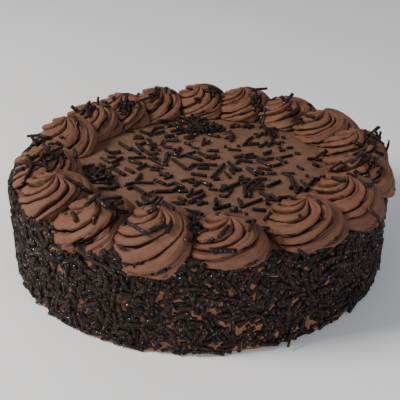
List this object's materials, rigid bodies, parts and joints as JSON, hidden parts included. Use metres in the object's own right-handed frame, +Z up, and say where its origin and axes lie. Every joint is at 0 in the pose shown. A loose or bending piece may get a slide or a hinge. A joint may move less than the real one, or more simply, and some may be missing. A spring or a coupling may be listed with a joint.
{
  "type": "layer cake",
  "caption": "Whole round chocolate cake coated with cream, its side dressed with chocolate strands and its top ringed by piped cream swirls.",
  "frame": {"origin": "middle of the whole cake with its ring of swirls, on the plane of its flat underside", "axes": "+Z up through the middle of the cake; -Y is the side that faces the viewer in the picture"},
  "size_m": [0.2539, 0.2519, 0.0871],
  "materials": {
    "strand_coat": "chocolate strands pressed into whipped chocolate cream",
    "piped_cream": "matte whipped chocolate cream with fine pores",
    "strands": "dark chocolate strands with a satin gloss"
  },
  "bodies": {
    "root": {"cake": "strand_coat", "swirl_01": "piped_cream", "swirl_02": "piped_cream", "swirl_03": "piped_cream", "swirl_04": "piped_cream", "swirl_05": "piped_cream", "swirl_06": "piped_cream", "swirl_07": "piped_cream", "swirl_08": "piped_cream", "swirl_09": "piped_cream", "swirl_10": "piped_cream", "swirl_11": "piped_cream", "swirl_12": "piped_cream", "swirl_13": "piped_cream", "swirl_14": "piped_cream", "swirl_15": "piped_cream", "swirl_16": "piped_cream", "swirl_17": "piped_cream"}
  },
  "joints": []
}
